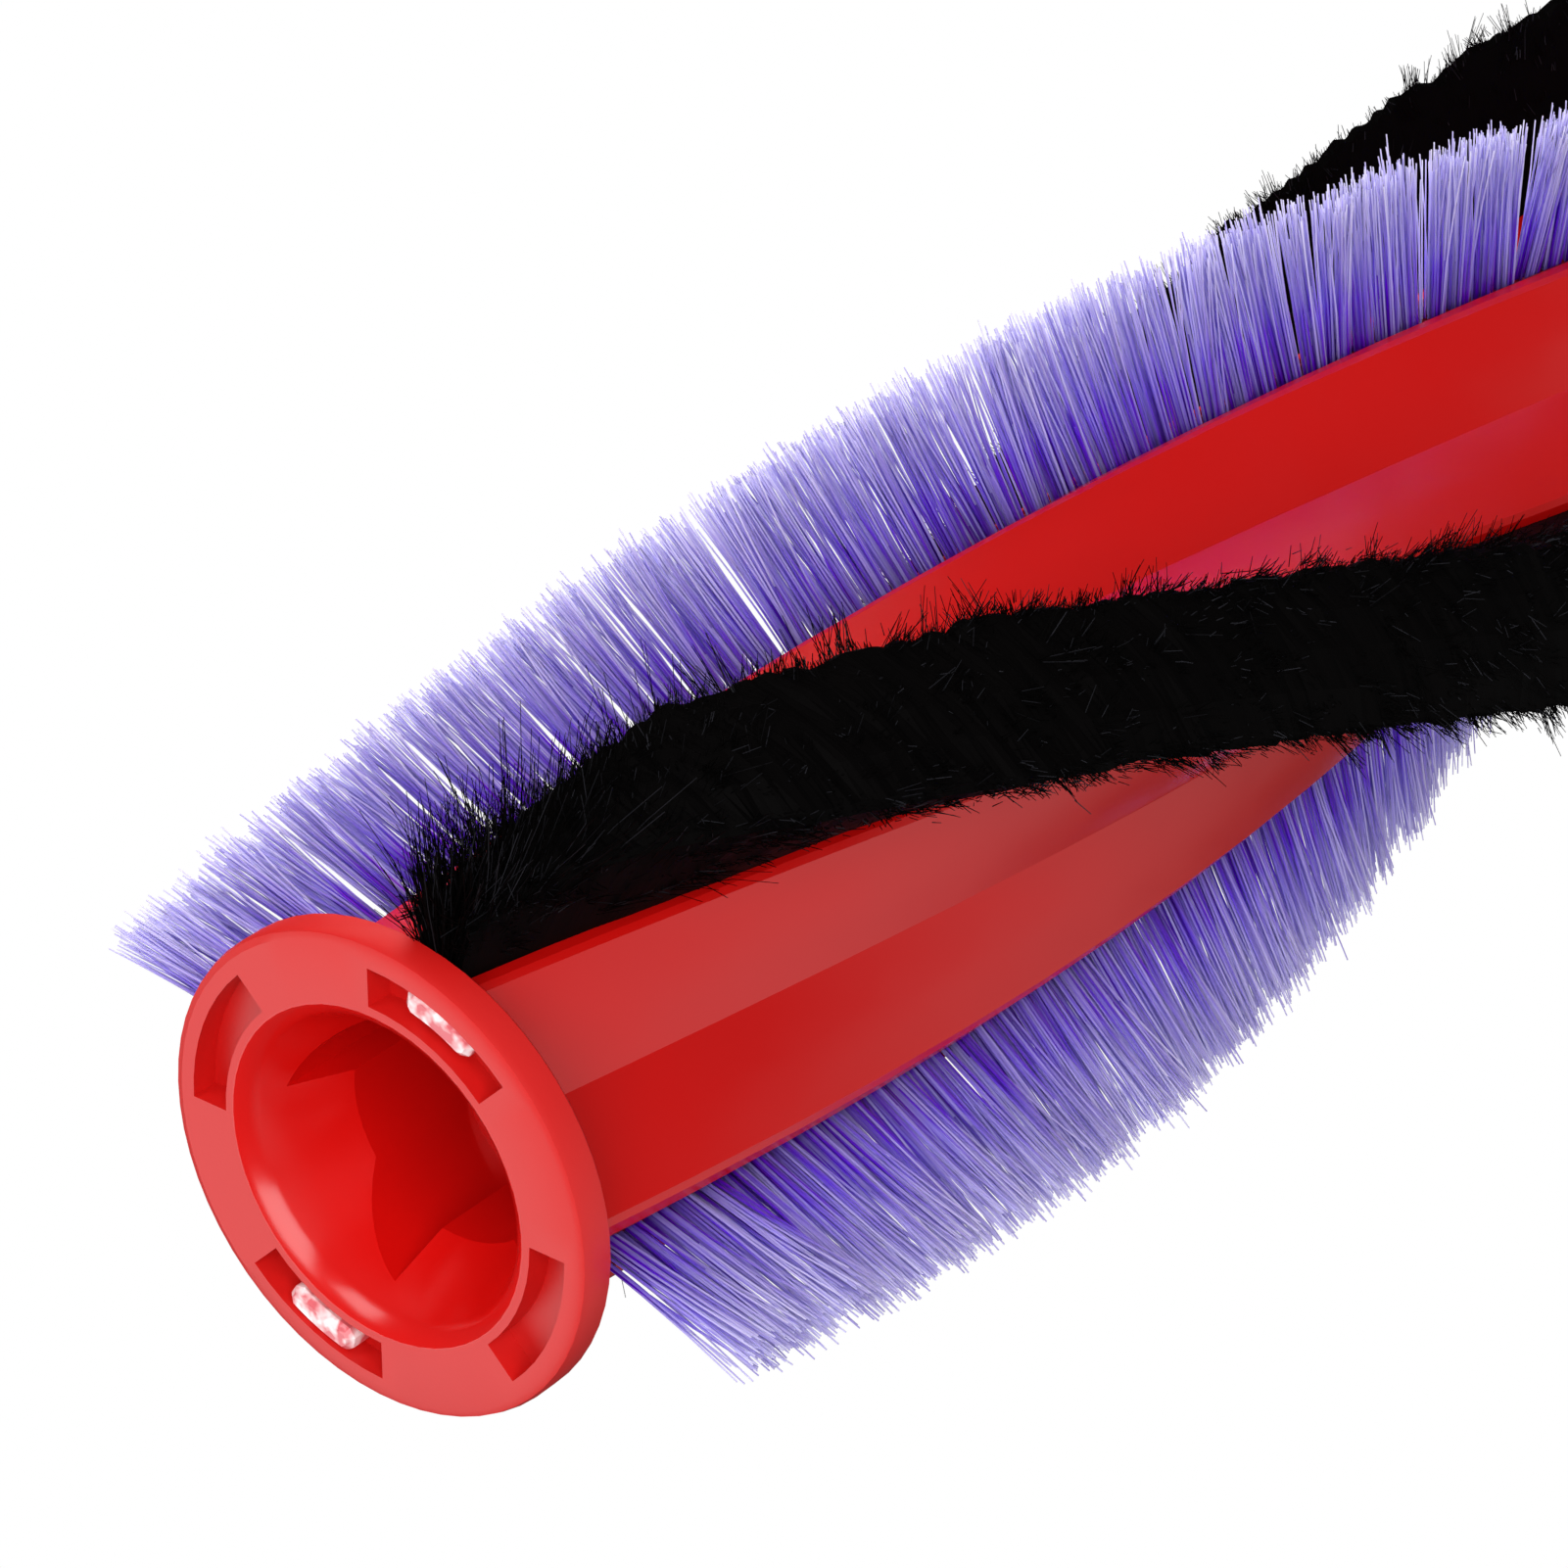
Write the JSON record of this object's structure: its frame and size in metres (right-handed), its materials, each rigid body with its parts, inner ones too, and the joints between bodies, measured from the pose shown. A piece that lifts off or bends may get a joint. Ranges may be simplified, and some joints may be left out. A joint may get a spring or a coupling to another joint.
{
  "type": "vacuum roller brush",
  "caption": "Hollow twisted roller with helical rows of stiff tufts and soft pile, a flanged drive throat at one end and a plain bearing at the other, for a vacuum cleaner's floor head.",
  "frame": {"origin": "middle of the end plug's flat outer face, on which the roller stands", "axes": "+Z along the roller's axis, from the plugged bearing end to the open drive throat; +X through the first row of tufts at the throat"},
  "size_m": [0.052, 0.052, 0.225],
  "materials": {
    "red_moulding": "glossy",
    "red_strip": "matte",
    "violet_nylon": "satin",
    "black_tape": "matte",
    "black_pile": "matte",
    "bush_bronze": "satin",
    "clear_adhesive": "glossy"
  },
  "bodies": {
    "root": {"roller_body": "red_moulding", "end_plug": "red_moulding", "pivot_bush": "bush_bronze", "bristle_carrier_1": "red_strip", "bristle_carrier_2": "red_strip", "bristle_tufts_1": "violet_nylon", "bristle_tufts_2": "violet_nylon", "pile_backing_1": "black_tape", "pile_backing_2": "black_tape", "pile_1": "black_pile", "pile_2": "black_pile", "adhesive_dabs": "clear_adhesive"}
  },
  "joints": []
}
